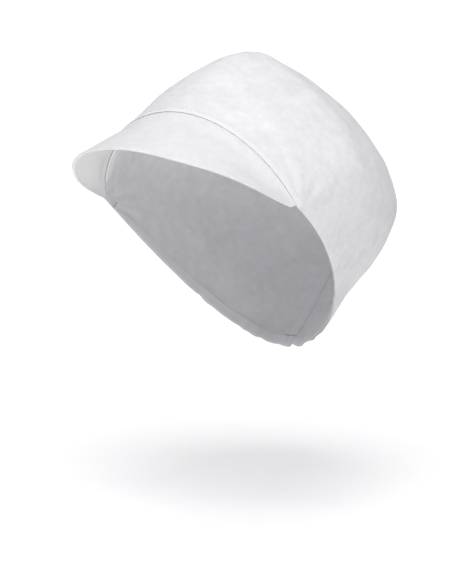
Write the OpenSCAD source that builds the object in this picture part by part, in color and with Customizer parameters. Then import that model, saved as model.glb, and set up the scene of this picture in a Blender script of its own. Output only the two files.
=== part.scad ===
// Soft peaked cap: a one-panel crown with an elastic nape, and a stiffened peak on a curved seam.
// Millimetres. The origin is the middle of the head, level with the temples.
// +X is the wearer's left, -Y is the front and +Z is up.

/* [Peak seam] */
// Half of the distance between the seam's two ends at the temples
seam_half = 80; // [67:1:96]
// How far the seam's ends lie ahead of the middle of the head
seam_ahead = 38.5; // [32:0.5:46]
// Height of the seam's ends above the middle of the head
seam_up = 7; // [0:1:16]
// How far the seam's crest lies ahead of its ends
seam_reach = 35.5; // [30:0.5:43]
// How high the seam's crest stands above its ends
seam_rise = 60.5; // [50:0.5:73]

/* [Peak] */
// How far the peak's front edge lies ahead of the seam's ends
peak_reach = 95.5; // [80:0.5:115]
// How high the middle of the peak's edge stands above the seam's ends
peak_rise = 36; // [30:1:44]
// How much wider each end of the peak is than the seam
peak_flare = 3; // [1:0.5:7]

/* [Crown] */
// How far the top of the crown lies behind the middle of the head
top_behind = 20; // [14:1:30]
// Height of the top of the crown above the middle of the head
top_up = 113.5; // [95:0.5:137]
// Half width of the pull that swells the crown above the ears
swell_half = 105.5; // [88:0.5:127]
// How far behind the middle of the head the crown's swell is pulled
swell_behind = 198; // [165:1:238]
// How far ahead of the middle of the head the crown's front is pulled
swell_front = 39.5; // [33:0.5:48]
// Height of that pull in front, which rounds the forehead
swell_front_up = 90; // [75:1:108]
// Height of that pull above the ears
swell_side_up = 39.5; // [33:0.5:48]
// Half width of that pull beside the forehead
swell_front_half = 67.5; // [56:0.5:81]
// Distance of the nape's edge behind the middle of the head
nape_behind = 86; // [72:1:103]
// Depth of the nape's edge below the middle of the head
nape_down = 98.5; // [82:0.5:119]

/* [Cloth] */
// Thickness of the crown's cloth
crown_cloth = 0.7; // [0.5:0.1:1.2]
// Thickness of the cloth over and under the peak, and of the seam binding
cover_cloth = 0.4; // [0.3:0.1:0.8]
// Thickness of the board inside the peak
stiffener_board = 0.7; // [0.5:0.1:1.2]
// Thickness of the sweatband
sweatband_cloth = 0.8; // [0.5:0.1:1.5]
// Thickness of the elastic at the nape
elastic_rubber = 0.5; // [0.4:0.1:1]

/* [Bands] */
// Width of the binding over the peak seam
binding_width = 4.5; // [3:0.5:7]
// Width of the casing that runs round the crown's open edge
casing_width = 9; // [7.5:0.5:11]
// Height of the sweatband
sweatband_height = 26; // [21:1:32]
// Width of the elastic
elastic_width = 6; // [3.5:0.5:7]
// Width of the tape inside the back seam
tape_width = 10; // [6:0.5:14]
// How far the peak's root runs up under the crown's edge
peak_tuck = 1.2; // [0.5:0.1:2]

/* [Stitches] */
// Thickness of the sewing thread
thread = 0.5; // [0.3:0.1:0.8]
// Length of one stitch on the surface
stitch_length = 3; // [2:0.5:4]
// Distance between the middles of two stitches
stitch_pitch = 4.4; // [3.5:0.1:6]

/* [Hidden] */

// Gap between two layers of cloth that lie on each other
ply_gap = 0.12;
// Gap between the crown and what lies inside it
lining_gap = 0.25;
// Gap between the crown and the peak's root, which slides under it as the peak tilts
slide_gap = 0.7;
// Depth that the peak's root needs inside the crown when the peak is pushed up
tilt_room = 1.8;

// Depth of the peak's layers together
peak_depth = 2 * cover_cloth + stiffener_board + 2 * ply_gap;
// Depth at which the linings lie inside the crown, and at which the sweatband clears the peak's root
lining_depth = crown_cloth + lining_gap;
root_depth = crown_cloth + slide_gap + peak_depth + tilt_room;
// Rows of facets over which the sweatband keeps that depth, and over which it comes back
root_rows = 2;
rise_rows = 2;

// Columns of facets round the crown, and the turn of one column
columns = 80;
step = 360 / columns;
// Rows of facets above the sweatband
upper_rows = 9;
// Turns at which the pieces end: 0 is the front, 90 the seam's ends and 180 the nape
sweatband_turn = 72;
peak_turn = 85.5;
casing_turn = 94.5;
casing_deep_turn = 112.5;
elastic_turn = 117;
// Powers that sharpen the crests of the seam's arch and of the peak's edge, forwards and upwards
seam_sharp = 1.09;
seam_sharp_up = 1.31;
front_sharp = 1.1;
front_sharp_up = 1.28;
// How far the rear edge sets out along its start and along the nape before it bends
rear_pull = [7.5, 74, -42];
nape_pull = [45.5, 0, 0];
// Where the swell's ring is widest, and the turns over which it widens behind the forehead
swell_middle = 33;
widen_from = 13.5;
widen_over = 87;
// How far the crown follows its swell from the edge, and from the top
edge_pull = 0.45;
top_pull = 0.42;
// Share of a row by which the last row of facets stays short of the top
top_gap = 0.35;
// How far the peak keeps the crown's slope before it flares, forwards and upwards
flare_pull = 0.49;
flare_pull_up = 0.55;

// Distance of a row of stitches from the edge of the band that it holds
stitch_inset = 1;
// Largest share of the stitch line that the stitches fill
stitch_fill = 0.8;
// Width of a bartack
bartack_width = 1.6;

function clamp(x) = min(1, max(0, x));
function ease(x) = let (u = clamp(x)) u * u * (3 - 2 * u);
function mix(a, b, f) = a + (b - a) * f;
function unit(v) = v / norm(v);
function flip(p, side) = [p.x * side, p.y, p.z];

// One point on the Bezier curve through the control points p
function bezier(p, t) = len(p) == 1 ? p[0]
    : bezier([for (k = [0:len(p) - 2]) mix(p[k], p[k + 1], t)], t);

// The crown's open edge. turn is 0 at the front, 90 at the peak's ends and 180 at the nape.
function seam_point(turn) = let (c = max(0, cos(turn)))
    [seam_half * sin(turn), -seam_ahead - seam_reach * pow(c, seam_sharp),
     seam_up + seam_rise * pow(c, seam_sharp_up)];
function rear_point(u) = let (start = [seam_half, -seam_ahead, seam_up], nape = [0, nape_behind, -nape_down])
    bezier([start, start + rear_pull, nape + nape_pull, nape], u);
function edge_point(turn) = abs(turn) <= 90 ? seam_point(turn)
    : flip(rear_point(abs(turn) / 90 - 1), sign(turn));

// The ring that pulls the crown's surface outwards between its edge and its top
function swell_point(turn) = let (c = cos(turn))
    [mix(swell_front_half, swell_half, ease((abs(turn) - widen_from) / widen_over)) * sin(turn),
     c > 0 ? mix(swell_middle, -swell_front, c) : mix(swell_middle, swell_behind, -c),
     c > 0 ? mix(swell_side_up, swell_front_up, c) : swell_side_up * (1 + c)];

// The control points of one column of the crown, from the edge to the top
crown_top = [0, top_behind, top_up];
function column(turn) = let (edge = edge_point(turn), swell = swell_point(turn),
    above = mix(crown_top, swell, top_pull))
    [edge, mix(edge, swell, edge_pull), swell, swell, [above.x, above.y, top_up], crown_top];

// Rows: the first ones follow the bands, at set distances above the edge, and the rest share the
// height that is left. The crown, and every layer on it, uses the same rows and columns.
band_rows = [0, binding_width, casing_width, casing_width + 7, sweatband_height];
last_row = len(band_rows) - 1 + upper_rows;
function row_share(turn, row) = let (c = column(turn), pace = (len(c) - 1) * norm(c[1] - c[0]),
    band = len(band_rows) - 1)
    row <= band ? band_rows[row] / pace
    : mix(band_rows[band] / pace, 1, (row - band) / (upper_rows + top_gap));
grid = [for (row = [0:last_row]) [for (j = [0:columns - 1])
    let (turn = j * step - 180) bezier(column(turn), row_share(turn, row))]];

// The outward direction at one corner of a grid of points
function slope(grid, i, j, closed) = let (n = len(grid[0]), rows = len(grid),
    left = closed ? (j + n - 1) % n : max(0, j - 1), right = closed ? (j + 1) % n : min(n - 1, j + 1),
    below = max(0, i - 1), above = min(rows - 1, i + 1))
    unit(cross(grid[i][right] - grid[i][left], grid[above][j] - grid[below][j]));
normals = [for (i = [0:last_row]) [for (j = [0:columns - 1]) slope(grid, i, j, true)]];

// A point of the crown at any row and column, fractions included, raised by lift
function corner(table, row, j) = table[row][(j + 2 * columns) % columns];
function between(table, row, col) = let (i = min(floor(row), last_row - 1), j = floor(col),
    u = row - i, v = col - j)
    mix(mix(corner(table, i, j), corner(table, i + 1, j), u),
        mix(corner(table, i, j + 1), corner(table, i + 1, j + 1), u), v);
function on_crown(row, col, lift) = between(grid, row, col) + lift * between(normals, row, col);
function col_at(turn) = (turn + 180) / step;
// The row, with its fraction, that lies at a distance above the edge
function row_at(height) = let (k = max([for (n = [0:len(band_rows) - 2]) band_rows[n] <= height ? n : 0]))
    k + (height - band_rows[k]) / (band_rows[k + 1] - band_rows[k]);
// The rows of a band between two heights: its two edges, and each row of facets between them
function band(low, high) = concat([row_at(low)],
    [for (k = [0:len(band_rows) - 1]) if (band_rows[k] > low + 0.01 && band_rows[k] < high - 0.01) k],
    [row_at(high)]);
// The columns from one turn to another
function cols(from, to) = [col_at(from):1:col_at(to)];
// How far round a column is, counted from the front both ways
function turn_of(col) = 180 - abs(col * step - 360);

// A closed sheet between two grids of points that have the same number of rows and columns
module ply(outer, inner) {
    rows = len(outer);
    cols = len(outer[0]);
    size = rows * cols;
    points = [for (g = [outer, inner]) for (r = g) for (p = r) p];
    faces = [
        for (i = [0:rows - 2]) for (j = [0:cols - 2]) let (a = i * cols + j, b = a + cols)
            each [[a, b, b + 1], [a, b + 1, a + 1],
                  [size + a, size + b + 1, size + b], [size + a, size + a + 1, size + b + 1]],
        for (j = [0:cols - 2]) let (a = j, b = size - cols + j)
            each [[a, a + 1, size + a + 1], [a, size + a + 1, size + a],
                  [b, size + b + 1, b + 1], [b, size + b, size + b + 1]],
        for (i = [0:rows - 2]) let (a = i * cols, b = a + cols - 1)
            each [[a, size + a, size + a + cols], [a, size + a + cols, a + cols],
                  [b, size + b + cols, size + b], [b, b + cols, size + b + cols]]
    ];
    polyhedron(points, faces);
}

// A sheet on the crown. lift gives the height of its outer face at a row and a column.
module crown_ply(rows, cols, thickness, lift) {
    ply([for (r = rows) [for (c = cols) on_crown(r, c, lift(r, c))]],
        [for (r = rows) [for (c = cols) on_crown(r, c, lift(r, c) - thickness)]]);
}

// Stitches along a line of points, as straight lengths of thread
module stitches(line) {
    for (k = [0:len(line) - 2]) {
        way = line[k + 1] - line[k];
        span = norm(way);
        count = max(1, round(span / stitch_pitch));
        length = min(stitch_length, stitch_fill * span / count);
        for (n = [0:count - 1])
            translate(mix(line[k], line[k + 1], (n + 0.5) / count))
                rotate([0, acos(way.z / span), atan2(way.y, way.x)])
                    cylinder(d = thread, h = length, center = true, $fn = 16);
    }
}
function stitch_row(height, from, to, lift) =
    [for (c = cols(from, to)) on_crown(row_at(height), c, lift + ply_gap + thread / 2)];

// The crown: one panel, closed over the top
module crown_panel() {
    size = (last_row + 1) * columns;
    function ring(lift) =
        [for (i = [0:last_row]) for (j = [0:columns - 1]) grid[i][j] + lift * normals[i][j]];
    points = concat(ring(0), [crown_top], ring(-crown_cloth), [crown_top - [0, 0, crown_cloth]]);
    top = size;
    under = size + 1;
    under_top = under + size;
    faces = [
        for (j = [0:columns - 1]) let (k = (j + 1) % columns) each [
            for (i = [0:last_row - 1]) let (a = i * columns + j, b = i * columns + k)
                each [[a, a + columns, b + columns], [a, b + columns, b],
                      [under + a, under + b + columns, under + a + columns],
                      [under + a, under + b, under + b + columns]],
            [size - columns + j, top, size - columns + k],
            [under + size - columns + j, under + size - columns + k, under_top],
            [j, k, under + k], [j, under + k, under + j]
        ]
    ];
    color("whitesmoke") polyhedron(points, faces);
}

// The folded strip that is sewn over the crown's edge, along the peak seam
binding_face = ply_gap + cover_cloth;
module seam_binding() {
    color("white") crown_ply(band(0, binding_width), cols(-90, 90), cover_cloth,
        function(row, col) binding_face);
}

// The sweatband hangs from its top edge. Over its lowest rows it stands off, to leave room for the
// peak's root.
module forehead_sweatband() {
    color("white") crown_ply(band(0, sweatband_height), cols(-sweatband_turn, sweatband_turn),
        sweatband_cloth, function(row, col)
            -mix(root_depth, lining_depth, ease((row - root_rows) / rise_rows)));
}

// The casing round the open edge, from one end of the peak past the nape to the other
module edge_casing() {
    color("whitesmoke") crown_ply(band(0, casing_width), cols(casing_turn, 360 - casing_turn), cover_cloth,
        function(row, col) -lining_depth - (elastic_rubber + lining_gap)
            * ease((turn_of(col) - casing_turn) / (casing_deep_turn - casing_turn)));
}

// The elastic inside the casing
module nape_elastic() {
    color("ivory") crown_ply(band((casing_width - elastic_width) / 2, (casing_width + elastic_width) / 2),
        cols(elastic_turn, 360 - elastic_turn), elastic_rubber, function(row, col) -lining_depth);
}

// A bar of close stitches through the crown and the end of the elastic
module bartack(side) {
    start = col_at(side * elastic_turn);
    width = bartack_width / norm(corner(grid, 0, start + 1) - corner(grid, 0, start));
    color("white") crown_ply(band(stitch_inset, casing_width - 2 * stitch_inset), [start, start + width],
        thread, function(row, col) ply_gap + thread);
}
module left_bartack() bartack(1);
module right_bartack() bartack(-1);

// The back seam: a tape inside the crown and two lines of stitches outside it
nape_col = col_at(180);
seam_rows = [row_at(casing_width + 2), for (row = [3:last_row - 1]) row];
// A distance across the back seam, as a share of one column at that row
function across(row, distance) =
    let (width = norm(between(grid, row, nape_col + 1) - between(grid, row, nape_col)))
    sign(distance) * min(1, abs(distance) / width);
module back_seam_tape() {
    color("whitesmoke") ply(
        [for (r = seam_rows) [for (d = [-0.5, 0, 0.5])
            on_crown(r, nape_col + across(r, d * tape_width), -lining_depth)]],
        [for (r = seam_rows) [for (d = [-0.5, 0, 0.5])
            on_crown(r, nape_col + across(r, d * tape_width), -lining_depth - cover_cloth)]]);
}
module back_seam_thread() {
    color("white") for (side = [-1, 1]) stitches([for (r = seam_rows)
        on_crown(r, nape_col + across(r, side * (tape_width / 2 - stitch_inset)), ply_gap + thread / 2)]);
}

module peak_seam_thread() {
    color("white") stitches(stitch_row(binding_width - stitch_inset, -peak_turn, peak_turn, binding_face));
}
module casing_thread() {
    color("white") stitches(stitch_row(casing_width - stitch_inset, casing_turn, 360 - casing_turn, 0));
}
module sweatband_thread() {
    color("white") stitches(stitch_row(sweatband_height - stitch_inset, -sweatband_turn, sweatband_turn, 0));
}

// The peak's own grid: from its front edge back to the seam, and on under the crown's edge
function front_point(turn) = let (c = max(0, cos(turn)))
    [(seam_half + peak_flare) * sin(turn), -seam_ahead - peak_reach * pow(c, front_sharp),
     seam_up + peak_rise * pow(c, front_sharp_up)];
function peak_point(turn, share) =
    let (seam = seam_point(turn), front = front_point(turn), span = front - seam)
    bezier([seam, seam + [flare_pull * span.x, flare_pull * span.y, flare_pull_up * span.z], front], share);
peak_shares = [1, 0.95, 0.86, 0.74, 0.6, 0.46, 0.32, 0.18, 0.06, 0];
peak_cols = cols(-peak_turn, peak_turn);
peak_grid = concat(
    [for (share = peak_shares) [for (c = peak_cols) peak_point(c * step - 180, share)]],
    [[for (c = peak_cols) on_crown(row_at(peak_tuck), c, 0)]]);
peak_last = len(peak_grid) - 1;
peak_width = len(peak_grid[0]) - 1;
peak_normals = [for (i = [0:peak_last]) [for (j = [0:peak_width]) slope(peak_grid, i, j, false)]];

// One layer of the peak, whose upper face lies a set depth under the grid
module peak_ply(rows, cols, thickness, depth) {
    ply([for (i = rows) [for (j = cols) peak_grid[i][j] - depth * peak_normals[i][j]]],
        [for (i = rows) [for (j = cols) peak_grid[i][j] - (depth + thickness) * peak_normals[i][j]]]);
}

cover_depth = crown_cloth + slide_gap;
board_depth = cover_depth + cover_cloth + ply_gap;
under_depth = board_depth + stiffener_board + ply_gap;
module peak_top_cover() {
    color("white") peak_ply([0:peak_last], [0:peak_width], cover_cloth, cover_depth);
}
// The board stops short of the covers' edges, and ahead of the crown's edge
module peak_stiffener() {
    color("gainsboro") peak_ply([1:peak_last - 2], [1:peak_width - 1], stiffener_board, board_depth);
}
module peak_under_cover() {
    color("whitesmoke") peak_ply([0:peak_last], [0:peak_width], cover_cloth, under_depth);
}

crown_panel();
seam_binding();
forehead_sweatband();
edge_casing();
nape_elastic();
back_seam_tape();
back_seam_thread();
peak_seam_thread();
casing_thread();
sweatband_thread();
left_bartack();
right_bartack();
peak_top_cover();
peak_stiffener();
peak_under_cover();
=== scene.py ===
# %% [markdown]
# A soft peaked cap, built as a tailor would: from flat cloth that has been shaped, layered and sewn.
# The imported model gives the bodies, the joint and the sizes. This script gives the cap its looks:
# thin cloth with folds and gathers, a covered peak, a binding, a sweatband, an elastic casing and
# every row of stitches. Lengths are in metres, +X is the wearer's left, -Y the front and +Z up.

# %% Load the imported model
import bpy
import numpy as np
from mathutils import Matrix


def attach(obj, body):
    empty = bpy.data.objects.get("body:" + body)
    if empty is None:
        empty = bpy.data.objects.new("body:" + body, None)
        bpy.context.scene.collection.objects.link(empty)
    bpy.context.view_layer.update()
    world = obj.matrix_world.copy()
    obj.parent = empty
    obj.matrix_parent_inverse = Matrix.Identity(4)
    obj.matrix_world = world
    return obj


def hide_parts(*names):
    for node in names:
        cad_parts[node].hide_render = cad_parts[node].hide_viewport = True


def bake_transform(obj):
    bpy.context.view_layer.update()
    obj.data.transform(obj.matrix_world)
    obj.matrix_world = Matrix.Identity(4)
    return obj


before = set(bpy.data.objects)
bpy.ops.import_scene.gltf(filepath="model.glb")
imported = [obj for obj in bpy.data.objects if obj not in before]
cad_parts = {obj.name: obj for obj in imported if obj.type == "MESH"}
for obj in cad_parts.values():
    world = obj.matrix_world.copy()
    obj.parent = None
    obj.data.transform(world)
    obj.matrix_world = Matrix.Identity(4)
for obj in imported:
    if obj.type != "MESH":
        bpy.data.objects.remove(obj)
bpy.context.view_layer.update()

MM = 0.001
TAU = 2 * np.pi
scene = bpy.context.scene
print("nodes:", sorted(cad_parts))

# %% [markdown]
# The camera stands where a photographer would: to the wearer's left of the nose, a little above
# the eyes, leaning slightly. A long lens at just over a metre keeps the peak from looking large.
# The camera's three axes are worked out from two angles and the roll, and set as a matrix, because
# that is exact, where a Track To constraint would leave the roll to chance.

# %% Camera
VIEW_AZIMUTH, VIEW_HEIGHT, VIEW_ROLL = np.radians([33.0, 4.0, 2.4])
VIEW_DISTANCE = 1.15
PICTURE_WIDTH = 0.036
LENS = 0.1306


def view_axes(azimuth, height, roll):
    """The camera's right, up and backward directions, as rows."""
    back = np.array([np.sin(azimuth) * np.cos(height), -np.cos(azimuth) * np.cos(height), np.sin(height)])
    right = np.array([np.cos(azimuth), np.sin(azimuth), 0.0])
    up = np.cross(back, right)
    return np.array([np.cos(roll) * right + np.sin(roll) * up,
                     np.cos(roll) * up - np.sin(roll) * right, back])


view = view_axes(VIEW_AZIMUTH, VIEW_HEIGHT, VIEW_ROLL)
camera_data = bpy.data.cameras.new("camera")
camera_data.sensor_fit = "HORIZONTAL"
camera_data.sensor_width = PICTURE_WIDTH / MM
camera_data.lens = LENS / MM
camera = bpy.data.objects.new("camera", camera_data)
place = np.array([-0.0014, -0.0547, VIEW_DISTANCE]) @ view
camera.matrix_world = Matrix.Translation(place) @ Matrix(view.T.tolist()).to_4x4()
scene.collection.objects.link(camera)
scene.camera = camera
print("camera at", place.round(3))

# %% [markdown]
# Shader maths reads best as maths. The small class below wraps one output of a node. Adding or
# multiplying two of them adds the Math node that does it, so a pattern can be written as a formula.
# Any other node comes from its one method, node().


# %% Shader maths
class Flow:
    """One socket of a node tree, with arithmetic that builds Math nodes."""

    def __init__(self, tree, socket):
        self.tree = tree
        self.socket = socket

    def node(self, kind, settings=None, out=0, **values):
        """Adds a node. settings are set first, then values or links go to the named sockets."""
        node = self.tree.nodes.new(kind)
        for key, value in (settings or {}).items():
            setattr(node, key, value)
        for key, value in values.items():
            name = key.replace("_", " ")
            slot = node.inputs[int(key[1:])] if key[1:].isdigit() else node.inputs[name]
            if isinstance(value, Flow):
                self.tree.links.new(value.socket, slot)
            else:
                slot.default_value = value
        return Flow(self.tree, node.outputs[out])

    def maths(self, operation, *values):
        """A Math node over this value and others."""
        slots = {f"i{k}": v for k, v in enumerate((self, *values))}
        return self.node("ShaderNodeMath", {"operation": operation}, **slots)

    def __add__(self, other):
        return self.maths("ADD", other)

    def __radd__(self, other):
        return self.maths("ADD", other)

    def __sub__(self, other):
        return self.maths("SUBTRACT", other)

    def __rsub__(self, other):
        return (self * -1.0) + other

    def __mul__(self, other):
        return self.maths("MULTIPLY", other)

    def __rmul__(self, other):
        return self.maths("MULTIPLY", other)

    def __truediv__(self, other):
        return self.maths("DIVIDE", other)

    def part(self, low, high):
        """0 below low, 1 above high and smooth between them."""
        return self.node("ShaderNodeMapRange", {"interpolation_type": "SMOOTHSTEP"}, Value=self,
                         From_Min=low, From_Max=high)


def new_material(name):
    """A material with its tree and its Principled shader."""
    material = bpy.data.materials.new(name)
    material.use_nodes = True
    return material, material.node_tree, material.node_tree.nodes["Principled BSDF"]


def feed(tree, flow, socket):
    """Links a Flow to a socket."""
    tree.links.new(flow.socket, socket)


def paint(tree, shader, light, colour):
    """The base colour is one colour times a Flow that varies over the surface."""
    tint = light.node("ShaderNodeCombineXYZ", X=light * colour[0], Y=light * colour[1], Z=light * colour[2])
    feed(tree, tint, shader.inputs["Base Color"])


# %% [markdown]
# A white cap on a white ground is a study in soft light. One large softbox, in front and above,
# models the folds, and a weaker one overhead fills the top. The room around is an even grey light,
# and only the wall behind the cap is brighter, so that the ground is whiter than the cloth. The
# floor is far enough below the cap to catch only a soft shadow.

# %% Light and floor
FLOOR_LEVEL, FLOOR_RADIUS, FLOOR_CORNERS = -0.225, 1.15, 96
ROOM_LIGHT, WALL_LIGHT = 0.3, 1.15
WALL_EDGE, WALL_MIDDLE = 0.92, 0.977
ROOM_COLOUR = (0.985, 0.98, 1.03, 1.0)


def softbox(name, azimuth, height, distance, size, watts):
    """An area light that faces the middle of the cap from an azimuth and a height in degrees."""
    data = bpy.data.lights.new(name, "AREA")
    data.shape = "DISK"
    data.size = size
    data.energy = watts
    lamp = bpy.data.objects.new(name, data)
    axes = view_axes(*np.radians([azimuth, height, 0.0]))
    lamp.matrix_world = Matrix.Translation(axes[2] * distance) @ Matrix(axes.T.tolist()).to_4x4()
    scene.collection.objects.link(lamp)


softbox("key_light", azimuth=30, height=42, distance=1.9, size=0.9, watts=24)
softbox("top_light", azimuth=0, height=78, distance=1.9, size=1.4, watts=8)

world = bpy.data.worlds.new("studio")
world.use_nodes = True
sky = Flow(world.node_tree, None)
backdrop = -view[2]
ahead = sky.node("ShaderNodeVectorMath", {"operation": "DOT_PRODUCT"}, out=1,
                 i0=sky.node("ShaderNodeTexCoord"), i1=tuple(backdrop))
bright = ahead.part(WALL_EDGE, WALL_MIDDLE) * (WALL_LIGHT - ROOM_LIGHT) + ROOM_LIGHT
background = world.node_tree.nodes["Background"]
background.inputs["Color"].default_value = ROOM_COLOUR
feed(world.node_tree, bright, background.inputs["Strength"])
scene.world = world
scene.view_settings.view_transform = "Standard"

rim_angle = np.linspace(0, TAU, FLOOR_CORNERS, endpoint=False)
rim = np.stack([FLOOR_RADIUS * np.cos(rim_angle), FLOOR_RADIUS * np.sin(rim_angle),
                np.full(FLOOR_CORNERS, FLOOR_LEVEL)], axis=1)
floor_mesh = bpy.data.meshes.new("floor")
floor_mesh.from_pydata(rim.tolist(), [], [list(range(FLOOR_CORNERS))])
floor = bpy.data.objects.new("floor", floor_mesh)
scene.collection.objects.link(floor)

# %% [markdown]
# Spunbond cloth is a mat of fine plastic fibres, pressed together at rows of tiny bond points.
# Up close it shows the dots and the swirl of the fibres, and from further off only a cloudiness,
# where the mat is thicker or thinner. The dots and fibres are laid on the cloth's own UV map, which
# is in metres, so that they bend with the cloth and have one size on every piece. The cloudiness
# and the small creases read the place that each corner was made at, which has no seam at the top.
# The dots are two square lattices, one set in the middle of the other.

# %% Spunbond cloth
BOND_PITCH = 1.5 * MM
BOND_SIZE = 0.33


def spunbond(name, colour, cloudiness=0.05, dimples=0.35, crinkle=0.5, rough=0.8):
    """White non-woven cloth. colour is its mean colour, cloudiness how much it varies."""
    material, tree, shader = new_material(name)
    start = Flow(tree, None)
    uv = start.node("ShaderNodeUVMap", {"uv_map": "cloth"})
    u = start.node("ShaderNodeSeparateXYZ", Vector=uv) / BOND_PITCH
    v = start.node("ShaderNodeSeparateXYZ", out=1, Vector=uv) / BOND_PITCH

    def lattice(shift):
        """Distance to the nearest point of a square lattice, in pitches."""
        across = (u + shift).maths("FRACT") - 0.5
        along = (v + shift).maths("FRACT") - 0.5
        return (across * across * 1.9 + along * along).maths("SQRT")

    dots = 1 - lattice(0.0).maths("MINIMUM", lattice(0.5)).part(BOND_SIZE * 0.45, BOND_SIZE)
    place = start.node("ShaderNodeAttribute", {"attribute_name": "cloth_place"}, out=1)
    cloud = start.node("ShaderNodeTexNoise", Vector=place, Scale=150.0, Detail=5.0, Roughness=0.65)
    patch = start.node("ShaderNodeTexNoise", Vector=place, Scale=38.0, Detail=3.0, Roughness=0.55, Distortion=0.8)
    lengthways = start.node("ShaderNodeMapping", Vector=uv, Scale=(1.0, 0.22, 1.0), Rotation=(0.0, 0.0, 0.5))
    fibres = start.node("ShaderNodeTexNoise", Vector=lengthways, Scale=1500.0, Detail=3.0, Roughness=0.6,
                        Distortion=0.6)
    thickness = cloud * 0.6 + patch * 0.4
    light = 1.0 + (thickness - 0.5) * (2 * cloudiness) - dots * 0.02 + (fibres - 0.5) * 0.03
    paint(tree, shader, light, colour)
    feed(tree, 1 - (1 - rough) * (thickness + 0.5), shader.inputs["Roughness"])
    crease = start.node("ShaderNodeTexNoise", Vector=place, Scale=120.0, Detail=4.0, Roughness=0.6)
    height = (crease * crinkle + fibres * 0.16 - dots * dimples) * 0.00022
    bump = start.node("ShaderNodeBump", Height=height, Strength=0.75, Distance=1.0)
    feed(tree, bump, shader.inputs["Normal"])
    shader.inputs["Specular IOR Level"].default_value = 0.25
    shader.inputs["Sheen Weight"].default_value = 0.15
    shader.inputs["Sheen Roughness"].default_value = 0.6
    return material


crown_cloth = spunbond("crown_cloth", (0.775, 0.775, 0.79), cloudiness=0.22, crinkle=1.2)
binding_cloth = spunbond("binding_cloth", (0.80, 0.80, 0.81), cloudiness=0.07)
casing_cloth = spunbond("casing_cloth", (0.76, 0.76, 0.775), cloudiness=0.08)
sweatband_cloth = spunbond("sweatband_cloth", (0.79, 0.79, 0.785), cloudiness=0.05, crinkle=0.8)
peak_cloth = spunbond("peak_cloth", (0.765, 0.765, 0.78), cloudiness=0.15, crinkle=0.6)
# The lower peak cover is given a darker colour than the other cloths: painted shade, for the shade under the peak.
under_cloth = spunbond("under_cloth", (0.69, 0.69, 0.688), cloudiness=0.05, crinkle=0.3)
print("cloths:", len([m for m in bpy.data.materials if m.name.endswith("_cloth")]))

# %% [markdown]
# Sewing thread is two plies twisted together. Each stitch carries a UV map that runs along it, so
# the twist is a slanting wave. The board in the peak is a pressed sheet with a faint speckle, and
# the elastic shows the ribs of the cords that are woven into it. The floor is plain.

# %% Thread, board, elastic and floor


def twisted_thread(name, colour):
    """Polyester thread: slanting plies along the stitch's UV map."""
    material, tree, shader = new_material(name)
    start = Flow(tree, None)
    uv = start.node("ShaderNodeUVMap", {"uv_map": "cloth"})
    plies = start.node("ShaderNodeTexWave", {"bands_direction": "DIAGONAL"}, Vector=uv, Scale=900.0,
                       Distortion=0.5)
    light = 0.9 + plies * 0.1
    paint(tree, shader, light, colour)
    bump = start.node("ShaderNodeBump", Height=plies * 0.00005, Strength=0.6, Distance=1.0)
    feed(tree, bump, shader.inputs["Normal"])
    shader.inputs["Roughness"].default_value = 0.5
    shader.inputs["Sheen Weight"].default_value = 0.2
    return material


def pressed_board(name, colour):
    """A thin board: a fine speckle over the whole sheet, on Object coordinates."""
    material, tree, shader = new_material(name)
    start = Flow(tree, None)
    place = start.node("ShaderNodeTexCoord", out=3)
    speckle = start.node("ShaderNodeTexNoise", Vector=place, Scale=700.0, Detail=4.0)
    light = 0.94 + speckle * 0.1
    paint(tree, shader, light, colour)
    bump = start.node("ShaderNodeBump", Height=speckle * 0.0001, Strength=0.5, Distance=1.0)
    feed(tree, bump, shader.inputs["Normal"])
    shader.inputs["Roughness"].default_value = 0.7
    return material


def ribbed_elastic(name, colour):
    """Flat elastic: lengthwise ribs across the UV map's second direction."""
    material, tree, shader = new_material(name)
    start = Flow(tree, None)
    uv = start.node("ShaderNodeUVMap", {"uv_map": "cloth"})
    ribs = start.node("ShaderNodeTexWave", {"bands_direction": "Y"}, Vector=uv, Scale=420.0, Distortion=0.3)
    light = 0.86 + ribs * 0.14
    paint(tree, shader, light, colour)
    bump = start.node("ShaderNodeBump", Height=ribs * 0.0002, Strength=0.8, Distance=1.0)
    feed(tree, bump, shader.inputs["Normal"])
    shader.inputs["Roughness"].default_value = 0.65
    return material


def plain_floor(name):
    """A pale floor that glows a little more towards its rim, where less of the lamps' light falls."""
    material, tree, shader = new_material(name)
    start = Flow(tree, None)
    place = start.node("ShaderNodeTexCoord", out=3)
    grain = start.node("ShaderNodeTexNoise", Vector=place, Scale=3.0, Detail=2.0)
    light = 0.92 + grain * 0.02
    paint(tree, shader, light, (1.0, 1.0, 1.0))
    radius = start.node("ShaderNodeVectorMath", {"operation": "LENGTH"}, out=1, i0=place) / FLOOR_RADIUS
    glow = 0.3 + radius * radius * 0.45
    feed(tree, start.node("ShaderNodeCombineXYZ", X=glow, Y=glow, Z=glow), shader.inputs["Emission Color"])
    shader.inputs["Emission Strength"].default_value = 1.0
    shader.inputs["Roughness"].default_value = 0.9
    return material


thread = twisted_thread("thread", (0.86, 0.86, 0.88))
stiffener_board = pressed_board("stiffener_board", (0.72, 0.72, 0.70))
elastic = ribbed_elastic("elastic", (0.80, 0.78, 0.72))
floor_mesh.materials.append(plain_floor("floor"))

# %% [markdown]
# Every surface of the cap is a formula of two numbers. `turn` goes round the head in degrees: 0 is
# the front, 90 and -90 the temples, and 180 the nape. `height` is the distance above the open edge
# in metres, along the cloth. Both can be whole arrays, so one call gives a whole grid of points.
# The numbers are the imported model's own, in metres, because the cloth must lie where its solids do.
# The crown's cloth is drawn half as thick as its solid, because the real cloth is thin.

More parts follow.
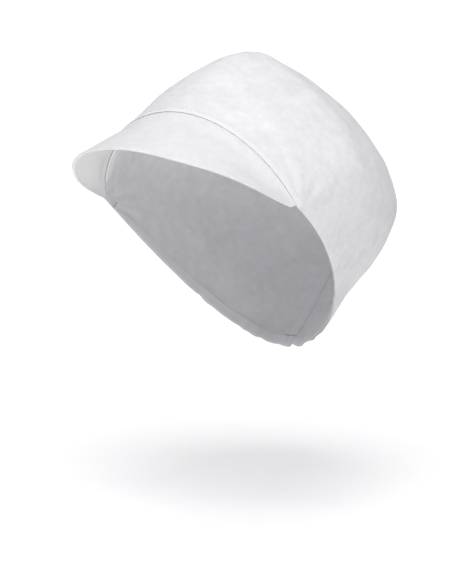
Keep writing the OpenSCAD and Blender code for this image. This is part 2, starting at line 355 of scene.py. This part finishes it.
# %% The crown's measures
SEAM_HALF, SEAM_AHEAD, SEAM_UP = 80 * MM, 38.5 * MM, 7 * MM
SEAM_REACH, SEAM_RISE = 35.5 * MM, 60.5 * MM
PEAK_REACH, PEAK_RISE, PEAK_FLARE = 95.5 * MM, 36 * MM, 3 * MM
SEAM_SHARP, SEAM_SHARP_UP, FRONT_SHARP, FRONT_SHARP_UP = 1.09, 1.31, 1.1, 1.28
CROWN_TOP = np.array([0.0, 20.0, 113.5]) * MM
NAPE = np.array([0.0, 86.0, -98.5]) * MM
REAR_PULL, NAPE_PULL = np.array([7.5, 74.0, -42.0]) * MM, np.array([45.5, 0.0, 0.0]) * MM
SWELL_FRONT_HALF, SWELL_HALF, SWELL_MIDDLE = 67.5 * MM, 105.5 * MM, 33 * MM
SWELL_FRONT, SWELL_BEHIND, SWELL_SIDE_UP, SWELL_FRONT_UP = -39.5 * MM, 198 * MM, 39.5 * MM, 90 * MM
WIDEN_FROM, WIDEN_OVER = 13.5, 87.0
EDGE_PULL, TOP_PULL, FLARE_PULL = 0.45, 0.42, np.array([0.49, 0.49, 0.55])
BAND_TOP, FULL_HEIGHT = 26 * MM, 190 * MM
CLOTH, COVER, BOARD, BAND_CLOTH, RUBBER = 0.7 * MM, 0.4 * MM, 0.7 * MM, 0.8 * MM, 0.5 * MM
PLY_GAP, SLIDE_GAP = 0.12 * MM, 0.7 * MM
PANEL = 0.35 * MM
LINING_DEPTH = PANEL + 0.12 * MM
ROOT_DEPTH = CLOTH + SLIDE_GAP + 2 * COVER + BOARD + 2 * PLY_GAP + 0.3 * MM


def mix(a, b, share):
    """a where share is 0, b where it is 1, and straight between them."""
    return a + (b - a) * share


def ease(x):
    """0 below 0, 1 above 1 and 3x^2 - 2x^3 between them."""
    u = np.clip(x, 0.0, 1.0)
    return u * u * (3 - 2 * u)


def bezier(points, share):
    """Bezier curve: mix each pair of neighbouring control points, again and again, down to one."""
    share = np.asarray(share)[..., None]
    while len(points) > 1:
        points = [mix(a, b, share) for a, b in zip(points[:-1], points[1:])]
    return points[0]


def vector(x, y, z):
    """Three numbers or arrays as one array of points."""
    return np.stack(np.broadcast_arrays(x, y, z), axis=-1)


def distances(points):
    """How far each point of a line is from its first, along the line: a running sum of its steps."""
    return np.concatenate([[0], np.cumsum(np.linalg.norm(np.diff(points, axis=0), axis=1))])


# %% [markdown]
# The open edge is one closed line: an arch over the brow, where the peak is sewn on, and a long
# swoop behind the ears down to the nape. The crown rises from it along a Bezier curve for each
# turn, first up and outwards, then over to the middle of the top.

# %% The crown's surface


def wrapped(turn):
    """The same turn between -180 and 180."""
    return (np.asarray(turn, float) + 180.0) % 360.0 - 180.0


def edge_at(turn):
    """In front a sine across and powers of the cosine forwards and up; behind, a Bezier curve."""
    turn = wrapped(turn)
    angle = np.radians(turn)
    c = np.maximum(0.0, np.cos(angle))
    front = vector(SEAM_HALF * np.sin(angle), -SEAM_AHEAD - SEAM_REACH * c ** SEAM_SHARP,
                   SEAM_UP + SEAM_RISE * c ** SEAM_SHARP_UP)
    start = np.array([SEAM_HALF, -SEAM_AHEAD, SEAM_UP])
    rear = bezier([start, start + REAR_PULL, NAPE + NAPE_PULL, NAPE],
                  np.clip(np.abs(turn) / 90 - 1, 0, 1))
    rear = rear * vector(np.sign(turn), 1.0, 1.0)
    return np.where((np.abs(turn) <= 90)[..., None], front, rear)


def swell_at(turn):
    """A ring that pulls the crown outwards: sine across, with other reaches in front and behind."""
    turn = wrapped(turn)
    angle = np.radians(turn)
    c = np.cos(angle)
    half = mix(SWELL_FRONT_HALF, SWELL_HALF, ease((np.abs(turn) - WIDEN_FROM) / WIDEN_OVER))
    return vector(half * np.sin(angle),
                  np.where(c > 0, mix(SWELL_MIDDLE, SWELL_FRONT, c), mix(SWELL_MIDDLE, SWELL_BEHIND, -c)),
                  np.where(c > 0, mix(SWELL_SIDE_UP, SWELL_FRONT_UP, c), SWELL_SIDE_UP * (1 + c)))


def smooth_crown(turn, height):
    """A Bezier curve from the edge through the swell to the top. height 0 is the edge."""
    turn, height = np.broadcast_arrays(np.asarray(turn, float), np.asarray(height, float))
    edge, swell = edge_at(turn), swell_at(turn)
    first = mix(edge, swell, EDGE_PULL)
    above = mix(CROWN_TOP, swell, TOP_PULL)
    above[..., 2] = CROWN_TOP[2]
    pace = 5 * np.linalg.norm(first - edge, axis=-1)
    band_share = BAND_TOP / pace
    share = np.where(height <= BAND_TOP, height / pace,
                     mix(band_share, 1.0, (height - BAND_TOP) / (FULL_HEIGHT - BAND_TOP)))
    top = np.broadcast_to(CROWN_TOP, edge.shape)
    return bezier([edge, first, swell, swell, above, top], share)


def outward(surface, a, b, step_a, step_b):
    """The unit normal: the cross product of the surface's two slopes, from small steps."""
    along = surface(a + step_a, b) - surface(a - step_a, b)
    up = surface(a, b + step_b) - surface(a, b - step_b)
    normal = np.cross(along, up)
    return normal / np.maximum(np.linalg.norm(normal, axis=-1, keepdims=True), 1e-12)


around = np.linspace(0, 180, 721)
edge_length = distances(edge_at(around))
print("open edge:", round(2 * edge_length[-1], 3), "m round")

# %% [markdown]
# Cloth is never quite smooth. Six kinds of unevenness make this one: wide soft hollows, where the
# thin cloth sags between the places that hold it up; small creases; folds that fan out from the
# temples, where the peak pulls; gathers at the nape, which the elastic draws together, and which
# run into each other higher up; the groove of the back seam; and small puckers between stitches.
# Each is a formula of the place on the cloth, and their sum moves every layer along the same
# normal, so that the layers stay apart. A cloth simulation is the other way. It could push these
# thin layers through each other, though it was not tried here.

# %% Folds


def waves(place, wavelength, count, seed):
    """Smooth noise: the mean of `count` plane waves in directions drawn once from a fixed seed."""
    draw = np.random.default_rng(seed)
    way = draw.normal(size=(count, 3))
    way *= TAU / wavelength * draw.uniform(0.75, 1.3, (count, 1)) / np.linalg.norm(way, axis=1, keepdims=True)
    return np.sin(place @ way.T + draw.uniform(0, TAU, count)).sum(axis=-1) / np.sqrt(count)


def gathers(along, height, scale):
    """Ripples along the elastic: sines of several widths, the narrow ones dying out sooner."""
    draw = np.random.default_rng(7)
    total = np.zeros(np.broadcast(along, height).shape)
    for width, fade, depth in [(9.1, 10, 0.34), (11.6, 15, 0.5), (15.5, 23, 0.6), (21.0, 36, 0.65),
                               (31.0, 56, 0.65)]:
        lean, start = draw.uniform(-1.2, 1.2), draw.uniform(0, TAU)
        wobble = 0.9 * np.sin(along / (41 * MM) * TAU / 2 + start * 1.7)
        total = total + depth * np.exp(-(height / (fade * MM)) ** 1.3) * np.sin(
            TAU * along / (width * MM) + start + wobble + lean * height / (fade * MM))
    return scale * MM * (total - 0.25 * total ** 2)


def folds(turn, height):
    """How far the cloth moves along its normal at a turn and a height."""
    turn, height = np.broadcast_arrays(wrapped(turn), np.maximum(height, 0.0))
    place = smooth_crown(turn, height)
    side = np.abs(turn)
    along = np.interp(side, around, edge_length) * np.sign(turn)
    free = ease((height - 2 * MM) / (34 * MM))
    rear = ease((side - 114) / 52)
    hollows = 1.0 * MM * waves(place, 85 * MM, 14, 3) * free + 0.28 * MM * waves(place, 31 * MM, 18, 5) * free
    ridge = waves(place * np.array([1.0, 1.0, 0.75]), 27 * MM, 16, 11)
    patches = ease(0.5 + 0.8 * waves(place, 62 * MM, 10, 13))
    creases = 0.34 * MM * patches * free * (np.sqrt(ridge ** 2 + 0.01) - 0.6)
    temple = np.interp(91.0, around, edge_length)
    across = np.abs(along) - temple
    reach = np.hypot(across, height) + 1e-6
    bearing = np.arctan2(height, across)
    fan = np.exp(-(reach / (62 * MM)) ** 2) * ease(reach / (22 * MM)) * ease(height / (6 * MM))
    fan = 0.34 * MM * fan * (np.sin(8.0 * bearing + 1.1 * np.sign(turn)) + 0.5 * np.sin(17.0 * bearing + 2.0))
    back = gathers(along, height, 1.35) * rear * (0.55 + 0.45 * waves(vector(along, 0.0, 0.0), 70 * MM, 8, 19))
    puckers = 0.06 * MM * np.sin(TAU * along / (3.0 * MM)) * np.exp(-((height - 3.5 * MM) / (2.5 * MM)) ** 2)
    behind = (side > 120) * ease((height - 4 * MM) / (8 * MM))
    beside = np.abs(place[..., 0])
    seam = -0.6 * MM * np.exp(-(beside / (1.7 * MM)) ** 2) * behind
    drawn = 0.16 * MM * np.sin(TAU * height / (9 * MM)) * np.exp(-((beside - 4 * MM) / (3 * MM)) ** 2) * behind
    return hollows + creases + fan + back + seam + drawn + puckers * (side < 86)


def crown_at(turn, height, lift=0.0):
    """A point of the cloth: the smooth crown, plus folds and lift along its normal."""
    turn, height = np.broadcast_arrays(np.asarray(turn, float), np.asarray(height, float))
    inside = np.minimum(height, FULL_HEIGHT * 0.996)
    normal = outward(smooth_crown, turn, inside, 0.2, 0.2 * MM)
    return smooth_crown(turn, height) + normal * (folds(turn, height) + lift)[..., None]


probe = folds(*np.meshgrid(np.linspace(-180, 180, 181), np.linspace(0, 180 * MM, 61)))
print("folds move the cloth by", (probe.min() * 1000).round(2), "to", (probe.max() * 1000).round(2), "mm")

# %% [markdown]
# A mesh needs its corners, its faces, a UV map for the cloth's pattern and a record of where each
# corner lies. `grid_faces` joins an array of points into quads. A sheet of cloth is a closed strip:
# its cross-section goes round both faces and both edges, and is carried along the sheet.

# %% Meshes from grids


def finish_piece(name, points, faces, uv, material, body=None):
    """A smooth mesh object with a UV map in metres and its place kept as an attribute."""
    mesh = bpy.data.meshes.new(name)
    mesh.from_pydata(np.asarray(points).tolist(), [], faces)
    layer = mesh.uv_layers.new(name="cloth")
    corners = np.zeros(len(mesh.loops), dtype=np.int32)
    mesh.loops.foreach_get("vertex_index", corners)
    layer.data.foreach_set("uv", np.asarray(uv, dtype=np.float32)[corners].ravel())
    keep = mesh.attributes.new("cloth_place", "FLOAT_VECTOR", "POINT")
    keep.data.foreach_set("vector", np.asarray(points, dtype=np.float32).ravel())
    mesh.polygons.foreach_set("use_smooth", np.ones(len(mesh.polygons), dtype=bool))
    mesh.materials.append(material)
    mesh.validate()
    piece = bpy.data.objects.new(name, mesh)
    scene.collection.objects.link(piece)
    if body:
        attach(piece, body)
    return piece


def grid_faces(rows, cols, first=0):
    """Quads between neighbouring rows of a grid whose corners are numbered row by row. Its columns
    close into a ring."""
    i, j = (a.ravel() for a in np.meshgrid(np.arange(rows - 1), np.arange(cols), indexing="ij"))
    k, m = i + 1, (j + 1) % cols
    return (np.stack([i * cols + j, i * cols + m, k * cols + m, k * cols + j], axis=1) + first).tolist()


def outside_faces(points, faces):
    """Turns every face round if the closed mesh has a negative volume."""
    p = np.asarray(points)
    quads = np.array([f for f in faces if len(f) == 4])
    a, b, c, d = (p[quads[:, n]] for n in range(4))
    volume = (np.einsum("ij,ij->i", a, np.cross(b, c)) + np.einsum("ij,ij->i", a, np.cross(c, d))).sum()
    return faces if volume > 0 else [f[::-1] for f in faces]


def tube_faces(rows, cols):
    """A grid's quads, and a face that shuts each of its two ends."""
    return grid_faces(rows, cols) + [list(range(cols))[::-1], list(range((rows - 1) * cols, rows * cols))]


def swept(name, points, uv, material, body=None):
    """A closed cross-section (the second index) carried along a path (the first), with its ends shut."""
    faces = tube_faces(*points.shape[:2])
    flat = points.reshape(-1, 3)
    return finish_piece(name, flat, outside_faces(flat, faces), uv.reshape(-1, 2), material, body)


def cloth_area(piece):
    """Half of a closed sheet's surface, which is the area of its cloth."""
    return 0.5 * sum(face.area for face in piece.data.polygons)


# %% [markdown]
# The crown is one panel of spunbond. The grid is finest where the gathers are, and its rows close
# over the top in a small ring of triangles. The same panel is drawn twice, outer and inner face,
# and the two are joined round the open edge, which gives the cloth its thickness.

# %% Crown
TURNS, CROWDING = 440, 0.45
low_rows = np.linspace(0, BAND_TOP, 22)
rows_up = np.concatenate([low_rows, mix(BAND_TOP, FULL_HEIGHT, np.linspace(0, 1, 82)[1:] ** 0.93)])[:-1]
even = np.linspace(-1, 1, TURNS, endpoint=False)
turns_round = 180 * (even + CROWDING * np.sin(np.pi * even) / np.pi)
grid_turn, grid_height = np.meshgrid(turns_round, rows_up)
outer = crown_at(grid_turn, grid_height)
inner = crown_at(grid_turn, grid_height, -PANEL)
ring_count = len(rows_up)
steps_down = np.linalg.norm(np.diff(outer[::-1], axis=0), axis=2)
fall = np.concatenate([np.zeros((1, TURNS)), np.cumsum(steps_down, axis=0)])[::-1]
compass = np.radians(grid_turn)
crown_uv = vector(fall * np.sin(compass), -fall * np.cos(compass), 0.0)[..., :2]
top_out = outer[-1].mean(axis=0)
crown_points = np.concatenate([outer.reshape(-1, 3), inner.reshape(-1, 3), [top_out, top_out - [0, 0, PANEL]]])
size = ring_count * TURNS
faces = grid_faces(ring_count, TURNS)
faces += [f[::-1] for f in grid_faces(ring_count, TURNS, first=size)]
here, after = np.arange(TURNS), (np.arange(TURNS) + 1) % TURNS
last = size - TURNS
rim = np.stack([here, here + size, after + size, after], axis=1)
cap_out = np.stack([here + last, after + last, np.full(TURNS, 2 * size)], axis=1)
cap_in = np.stack([after + last + size, here + last + size, np.full(TURNS, 2 * size + 1)], axis=1)
faces += rim.tolist() + cap_out.tolist() + cap_in.tolist()
flat_uv = np.concatenate([crown_uv.reshape(-1, 2), crown_uv.reshape(-1, 2), np.zeros((2, 2))])
crown = finish_piece("sewn_crown", crown_points, faces, flat_uv, crown_cloth)
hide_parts("crown_panel")
print("crown:", len(crown.data.polygons), "faces,", round(cloth_area(crown), 4), "m2")

# %% [markdown]
# Bands of cloth lie along the open edge: the binding over the peak seam, the sweatband inside the
# brow, and the casing that holds the elastic. Each is a cross-section in (height, lift), carried
# round the head. A folded strip has its raw edges turned under, so its section is a flat C.


# %% Bands along the edge
BINDING_LIFT, BAND_END, CASING_END, ELASTIC_END = 0.05 * MM, 72, 94.5, 117
def rounded(low, high, thickness, lift=0.0, across=5, corner=3):
    """A flat section with round edges: straight along both faces, half circles at both ends."""
    r = thickness / 2
    angle = np.linspace(-np.pi / 2, np.pi / 2, corner * 2 + 1)
    along = np.linspace(low + r, high - r, across)
    height = np.concatenate([along, high - r + r * np.cos(angle)[1:-1], along[::-1],
                             low + r - r * np.cos(angle)[1:-1]])
    rise = np.concatenate([np.full(across, -r), r * np.sin(angle)[1:-1], np.full(across, r),
                           -r * np.sin(angle)[1:-1]])
    return height, rise + lift


def folded(low, high, depth, cloth, hem, lift=0.0, corner=4):
    """A strip with both edges turned under by hem: out along the face, back along the turned parts."""
    r = depth / 2
    bend = np.linspace(np.pi / 2, -np.pi / 2, corner * 2 + 1)

    def path(inset):
        """One side of the cloth, inset from the outer side of the fold."""
        q = r - inset
        middle = np.linspace(low + r, high - r, 4)[1:-1]
        return (np.concatenate([[low + r + hem], low + r - q * np.cos(bend[::-1]), middle,
                                high - r + q * np.cos(bend), [high - r - hem]]),
                np.concatenate([[-q], q * np.sin(bend[::-1]), np.full(2, q), q * np.sin(bend), [-q]]))

    outside, inside = path(0.0), path(cloth)
    return (np.concatenate([outside[0], inside[0][::-1]]), np.concatenate([outside[1], inside[1][::-1]]) + lift)


def edge_band(name, turns, section, material, sink=None):
    """Carries a section of heights and lifts round the crown. sink(turn, height) adds depth."""
    height, lift = section
    turn = np.asarray(turns)[:, None] + np.zeros(len(height))
    height = height + np.zeros(turn.shape)
    lift = lift + np.zeros(turn.shape)
    if sink is not None:
        lift = lift - sink(turn, height)
    points = crown_at(turn, height, lift)
    way = distances(points.mean(axis=1))
    girth = np.concatenate([[0], np.cumsum(np.hypot(np.diff(height[0]), np.diff(section[1])))])
    uv = vector(way[:, None], girth[None, :], 0.0)[..., :2]
    return swept(name, points, uv, material)


def root_sink(turn, height):
    """The sweatband's depth: deep beside the peak's root, then easing up to the crown's lining."""
    return mix(ROOT_DEPTH, LINING_DEPTH, ease((height - 9 * MM) / (17 * MM)))


def casing_sink(turn, height):
    """The casing's depth: on the crown at its ends, and a little deeper where the elastic lies."""
    side = np.abs(wrapped(turn))
    return LINING_DEPTH + (RUBBER + PLY_GAP) * ease((side - CASING_END) / 18)


binding = edge_band("folded_binding", np.linspace(-90, 90, 240),
                    folded(-0.25 * MM, 4.5 * MM, COVER, 0.14 * MM, 1.7 * MM, lift=BINDING_LIFT + COVER / 2),
                    binding_cloth)
sweatband = edge_band("brow_sweatband", np.linspace(-BAND_END, BAND_END, 150),
                      rounded(0.0, BAND_TOP, BAND_CLOTH, lift=-BAND_CLOTH / 2, across=14),
                      sweatband_cloth, root_sink)
casing = edge_band("elastic_casing", np.linspace(CASING_END, 360 - CASING_END, 380),
                   rounded(0.2 * MM, 9 * MM, COVER, lift=-COVER / 2, across=8), casing_cloth, casing_sink)
elastic_strip = edge_band("gathered_elastic", np.linspace(ELASTIC_END, 360 - ELASTIC_END, 260),
                          rounded(1.5 * MM, 7.5 * MM, RUBBER, lift=-LINING_DEPTH - RUBBER / 2, across=6), elastic)
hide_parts("seam_binding")
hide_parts("forehead_sweatband")
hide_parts("edge_casing")
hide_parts("nape_elastic")
for piece in (binding, sweatband, casing, elastic_strip):
    print(piece.name, len(piece.data.polygons), "faces,", round(cloth_area(piece) * 1e4, 1), "cm2")

# %% [markdown]
# The back seam joins the panel's two sides behind. A tape inside covers its raw edges.

# %% Back seam tape
TAPE_LOW, TAPE_HIGH = 11 * MM, 176 * MM
tape_rows = np.concatenate([np.linspace(TAPE_LOW, BAND_TOP, 24), np.linspace(BAND_TOP, TAPE_HIGH, 110)[1:]])
tape_across, tape_lift = rounded(-5 * MM, 5 * MM, COVER, lift=-LINING_DEPTH - COVER / 2, across=7)


def beside_seam(height, distance):
    """The turn at a distance to one side of the back seam: the distance over the cloth's girth there."""
    pace = np.linalg.norm(smooth_crown(181.0, height) - smooth_crown(179.0, height), axis=-1) / 2
    return 180.0 + np.clip(distance / pace, -4.5, 4.5)


tape_height = tape_rows[:, None] + np.zeros(len(tape_across))
tape_points = crown_at(beside_seam(tape_height, tape_across), tape_height, tape_lift + np.zeros(tape_height.shape))
tape_way = distances(tape_points.mean(axis=1))
tape = swept("back_tape", tape_points, vector(tape_way[:, None], tape_across, 0.0)[..., :2], casing_cloth)
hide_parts("back_seam_tape")
print("tape:", round(tape_way[-1], 3), "m long")

# %% [markdown]
# The peak is a sandwich: a board between two covers. The upper cover is turned round the board's
# front edge and hemmed under it, which gives the edge its soft lip, and the lower cover lies inside
# the hem. The peak's own surface is a Bezier curve from the seam out to the front edge. It keeps
# the crown's slope at first and then flares. Its flare dies out towards the temples, and a shallow
# hollow near each end lets the cloth sag between the seam and the edge.

# %% Peak surface
PEAK_END, ROOT_SCALE = 85.5, 20 * MM
COVER_DEPTH = CLOTH + SLIDE_GAP
BOARD_DEPTH = COVER_DEPTH + COVER + PLY_GAP
UNDER_DEPTH = BOARD_DEPTH + BOARD + PLY_GAP
PEAK_DEPTH = UNDER_DEPTH + COVER - COVER_DEPTH


def peak_at(turn, share):
    """From the seam (share 0) to the front edge (1). Below 0 it runs up under the crown's edge."""
    turn, share = np.broadcast_arrays(np.asarray(turn, float), np.asarray(share, float))
    angle = np.radians(turn)
    c = np.maximum(0.0, np.cos(angle))
    seam = edge_at(turn)
    flare = PEAK_FLARE * (1 - ease((np.abs(turn) - 62) / 24))
    front = vector((SEAM_HALF + flare) * np.sin(angle), -SEAM_AHEAD - PEAK_REACH * c ** FRONT_SHARP,
                   SEAM_UP + PEAK_RISE * c ** FRONT_SHARP_UP)
    sheet = bezier([seam, seam + (front - seam) * FLARE_PULL, front], np.maximum(share, 0.0))
    root = smooth_crown(turn, np.maximum(-share, 0.0) * ROOT_SCALE)
    return np.where((share >= 0)[..., None], sheet, root)


def peak_point(turn, share, depth, out):
    """A point at a depth under the peak's surface, and out beyond its front edge.
    The upper cover's outer face rises close under the crown's edge towards the seam."""
    turn, share = np.broadcast_arrays(np.asarray(turn, float), np.asarray(share, float))
    safe_turn = np.clip(turn, -85.2, 85.2)
    normal = outward(peak_at, safe_turn, np.clip(share, 0.012, 0.99), 0.3, 0.01)
    root = outward(smooth_crown, safe_turn, np.full(turn.shape, 1.0 * MM), 0.3, 0.3 * MM)
    blend = ease((share + 0.06) / 0.12)[..., None]
    normal = -normal * blend + root * (1 - blend)
    normal /= np.linalg.norm(normal, axis=-1, keepdims=True)
    forward = peak_at(turn, np.ones(turn.shape)) - peak_at(turn, np.full(turn.shape, 0.97))
    forward /= np.linalg.norm(forward, axis=-1, keepdims=True)
    place = peak_at(turn, share)
    sway = 0.5 * MM * waves(place, 62 * MM, 10, 23) * ease(share / 0.5)
    hollow = np.exp(-(((np.abs(turn) - 56) / 13) ** 2 + ((share - 0.42) / 0.3) ** 2))
    sway = sway - 2.1 * MM * hollow * ease(share / 0.3)
    rise = COVER_DEPTH - mix(PANEL + 0.08 * MM, 0.0, ease(share / 0.03))
    rise = rise * (1 - ease(share / 0.24)) * (depth < BOARD_DEPTH)
    return place + normal * (sway + rise - depth)[..., None] + forward * out[..., None]


def peak_layer(name, section, material, turns):
    """Carries a section of (share, depth, out) from one end of the peak to the other."""
    turn, share, depth, out = np.broadcast_arrays(turns[:, None], *section)
    points = peak_point(turn, share, depth, out)
    uv = vector(points[..., 0], points[..., 1], 0.0)[..., :2]
    return swept(name, points, uv, material, "peak")


# %% [markdown]
# The upper cover's section starts under the crown's edge, runs out over the board, goes round the
# front edge on a lopsided half circle, fuller above than below, and comes back underneath. Its
# inner side follows one cloth's thickness further in. At the peak's two ends the section shrinks to
# a few millimetres. The board has the covers' own formula, so that it sags with them.

# %% Peak covers and board
peak_turns = PEAK_END * np.sin(np.linspace(-np.pi / 2, np.pi / 2, 181))
TUCK = -1.2 * MM / ROOT_SCALE
LIP = PEAK_DEPTH / 2
HEM = 0.965
BOARD_ROWS = 30


def lip_path(inset):
    """Out along the top at one side of the cloth, round the lip, and back to the hem's edge."""
    share = np.concatenate([[TUCK, TUCK / 2], np.linspace(0, 1, 40) ** 0.9])
    bend = np.linspace(0, np.pi, 9)[1:-1]
    r = LIP - inset
    mid = COVER_DEPTH + LIP
    lip = 0.9 * r * np.sin(bend) * (1 + 0.6 * np.cos(bend))
    back = np.linspace(1.0, HEM, 5)
    return (np.concatenate([share, np.ones(len(bend)), back]),
            np.concatenate([np.full(len(share), mid - r), mid - r * np.cos(bend), np.full(len(back), mid + r)]),
            np.concatenate([np.zeros(len(share)), lip, np.zeros(len(back))]))


outside, inside = lip_path(0.0), lip_path(COVER * 0.9)
upper_section = [np.concatenate([a, b[::-1]]) for a, b in zip(outside, inside)]
upper_cover = peak_layer("peak_upper_cloth", upper_section, peak_cloth, peak_turns)

under_share = np.concatenate([[TUCK, TUCK / 2], np.linspace(0, HEM - 0.004, 40)])
under_section = (np.concatenate([under_share, under_share[::-1]]),
                 np.concatenate([np.full(len(under_share), UNDER_DEPTH + 0.02 * MM),
                                 np.full(len(under_share), UNDER_DEPTH + COVER)]),
                 np.zeros(2 * len(under_share)))
under_cover = peak_layer("peak_lower_cloth", under_section, under_cloth, peak_turns)
board_share = np.linspace(0.004, 0.985, BOARD_ROWS)
board_section = (np.concatenate([board_share, board_share[::-1]]),
                 np.repeat([BOARD_DEPTH, BOARD_DEPTH + BOARD], BOARD_ROWS), np.zeros(2 * BOARD_ROWS))
board = peak_layer("peak_board", board_section, stiffener_board, peak_turns * 0.985)
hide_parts("peak_stiffener")
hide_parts("peak_top_cover")
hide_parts("peak_under_cover")

print("covers:", len(upper_cover.data.polygons), "and", len(under_cover.data.polygons), "faces")

# %% [markdown]
# Every stitch is a short piece of thread that rises from one hole, lies on the cloth and dips into
# the next hole. One formula makes a whole row: rings of six corners along each stitch, where the
# thread's middle follows a flat arch. The machine's tension gives all stitches one length.

# %% Stitches
STITCH_PITCH, STITCH_LENGTH, THREAD = 3.0 * MM, 2.45 * MM, 0.4 * MM
SIDES, RINGS = 6, 5


def sewn_row(name, surface, path, pitch=STITCH_PITCH, length=STITCH_LENGTH, width=THREAD):
    """Stitches along a path of (a, b) on surface(a, b, lift), a pitch apart."""
    a, b = path
    line = surface(a, b, 0.0)
    way = distances(line)
    count = int(way[-1] / pitch)
    middle = (np.arange(count) + 0.5) * way[-1] / count
    step = np.linspace(-0.5, 0.5, RINGS)
    along = middle[:, None] + step * length
    ring_a, ring_b = np.interp(along, way, a), np.interp(along, way, b)
    arch = width * (0.5 - 0.75 * np.abs(2 * step) ** 3)
    centre = surface(ring_a, ring_b, arch + np.zeros(along.shape))
    lifted = surface(ring_a, ring_b, arch + 0.5 * MM + np.zeros(along.shape))
    up = lifted - centre
    up /= np.linalg.norm(up, axis=-1, keepdims=True)
    ahead = centre[:, -1:] - centre[:, :1]
    aside = np.cross(ahead / np.linalg.norm(ahead, axis=-1, keepdims=True), up)
    aside /= np.linalg.norm(aside, axis=-1, keepdims=True)
    angle = np.arange(SIDES) * TAU / SIDES
    radius = width / 2 * np.array([0.62, 0.95, 1.0, 0.95, 0.62])[:, None, None]
    ring = up[:, :, None] * np.cos(angle)[:, None] + aside[:, :, None] * np.sin(angle)[:, None]
    points = centre[:, :, None] + radius * ring
    one = outside_faces(points[0].reshape(-1, 3), tube_faces(RINGS, SIDES))
    faces = [[v + n * RINGS * SIDES for v in face] for n in range(count) for face in one]
    uv = vector((step * length)[:, None], (angle * width / 2)[None, :], 0.0)[..., :2]
    uv = np.broadcast_to(uv, (count, RINGS, SIDES, 2))
    return finish_piece(name, points.reshape(-1, 3), faces, uv.reshape(-1, 2), thread), count


def level_row(low, high, height):
    """A path at one height round the crown."""
    turn = np.linspace(low, high, 1400)
    return turn, np.full(turn.shape, height)


def over_binding(turn, height, lift):
    """The crown's surface with the binding's thickness on it."""
    return crown_at(turn, height, lift + BINDING_LIFT + COVER)


seam_stitches, seam_count = sewn_row("seam_stitches", over_binding, level_row(-PEAK_END, PEAK_END, 3.5 * MM))
casing_stitches, casing_count = sewn_row("casing_stitches", crown_at, level_row(CASING_END, 360 - CASING_END, 8 * MM))
band_stitches, band_count = sewn_row("sweatband_stitches", crown_at, level_row(-BAND_END, BAND_END, 25 * MM),
                                     width=0.22 * MM)
print("stitches:", seam_count, casing_count, band_count)
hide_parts("peak_seam_thread")
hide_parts("casing_thread")
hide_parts("sweatband_thread")

# %% [markdown]
# The back seam has a row of stitches on each side. A bartack is a bar of close stitches across the
# casing, where the elastic ends: it is sewn to and fro, so its threads lie side by side.

# %% Back seam stitches and bartacks


def join_pieces(name, pieces):
    """One piece from several, by joining their meshes."""
    with bpy.context.temp_override(active_object=pieces[0], selected_editable_objects=pieces):
        bpy.ops.object.join()
    pieces[0].name = name
    pieces[0].data.name = name
    return pieces[0]


sides = []
for side in (-1, 1):
    height = np.concatenate([np.linspace(TAPE_LOW, BAND_TOP, 100), np.linspace(BAND_TOP, TAPE_HIGH, 900)[1:]])
    turn = beside_seam(height, side * 4 * MM)
    row, count = sewn_row(f"back_row_{side + 1}", crown_at, (turn, height))
    sides.append(row)
back_stitches = join_pieces("back_stitches", sides)
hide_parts("back_seam_thread")

tacks = []
for side, label in ((1, "left"), (-1, "right")):
    threads = []
    for n, level in enumerate(np.linspace(1.2 * MM, 6.8 * MM, 15)):
        turn = side * (ELASTIC_END + np.linspace(0.15, 1.5, 40))
        bar, count = sewn_row(f"{label}_bar_{n}", crown_at, (turn, level + 0.25 * MM * np.linspace(-1, 1, 40)),
                              pitch=1.6 * MM, length=1.7 * MM, width=0.38 * MM)
        threads.append(bar)
    tack = join_pieces(f"{label}_tack", threads)
    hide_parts(f"{label}_bartack")
    tacks.append(tack)
print("bartacks:", [len(t.data.polygons) for t in tacks])

# %% [markdown]
# When the peak is tilted, the cloth of the crown in front follows it and the rest stays on the head.
# The covers and the board between them ride on the peak. The pieces on the crown's side have their
# placement baked into their meshes. Each cloth piece is listed with the rectangle that it could be cut
# from, the area cut and how it is held, and the area of its modelled cloth is printed beside the cut area.

# %% Baked pieces and cloth areas
crown_side = [crown, binding, sweatband, casing, elastic_strip, tape, seam_stitches, casing_stitches,
              band_stitches, back_stitches, *tacks]
for piece in crown_side:
    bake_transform(piece)

for piece, flat, cut, held in [(crown, (0.40, 0.46), 0.092, "stretched"),
                               (binding, (0.0105, 0.33), 0.0020, "folded"),
                               (sweatband, (0.028, 0.33), 0.0050, "stretched"),
                               (casing, (0.0105, 0.42), 0.0033, "gathered"),
                               (tape, (0.0105, 0.30), 0.0025, "stretched"),
                               (upper_cover, (0.21, 0.12), 0.0110, "stretched"),
                               (under_cover, (0.19, 0.11), 0.0090, "stretched")]:
    print(piece.name, "cloth", round(cloth_area(piece), 5), "m2, cut", cut, "m2")
